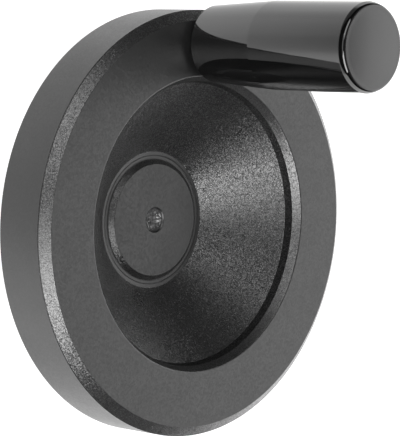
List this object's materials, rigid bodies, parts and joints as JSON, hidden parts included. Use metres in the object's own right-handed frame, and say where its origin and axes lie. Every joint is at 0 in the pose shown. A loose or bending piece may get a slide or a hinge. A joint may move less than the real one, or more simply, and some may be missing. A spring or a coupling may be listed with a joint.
{
  "type": "machine handwheel",
  "caption": "Dished disc handwheel with a blind shaft bore in its hub and a revolving cylindrical grip near its rim, for turning a machine shaft by hand.",
  "frame": {"origin": "centre of the hub's back face, where the shaft enters the bore", "axes": "+Z along the bore's axis, from the hub's back face to the side that carries the grip; the grip stands over +X"},
  "size_m": [0.0819, 0.08, 0.0682],
  "materials": {
    "black_coat": "black powder coat over cast aluminium, smooth on the turned ring and outside, coarse elsewhere",
    "plated_steel": "bright zinc plate",
    "spring_steel": "plain spring wire",
    "glossy_black": "glossy moulded"
  },
  "bodies": {
    "wheel": {"wheel": "black_coat", "spindle": "plated_steel", "snap_ring": "spring_steel"},
    "grip": {"grip": "glossy_black"}
  },
  "joints": [
    {"name": "grip_spin", "type": "hinge", "parent": "wheel", "child": "grip", "pos_m": [0.0338, 0, 0.049], "axis": [0, 0, 1], "continuous": true}
  ]
}
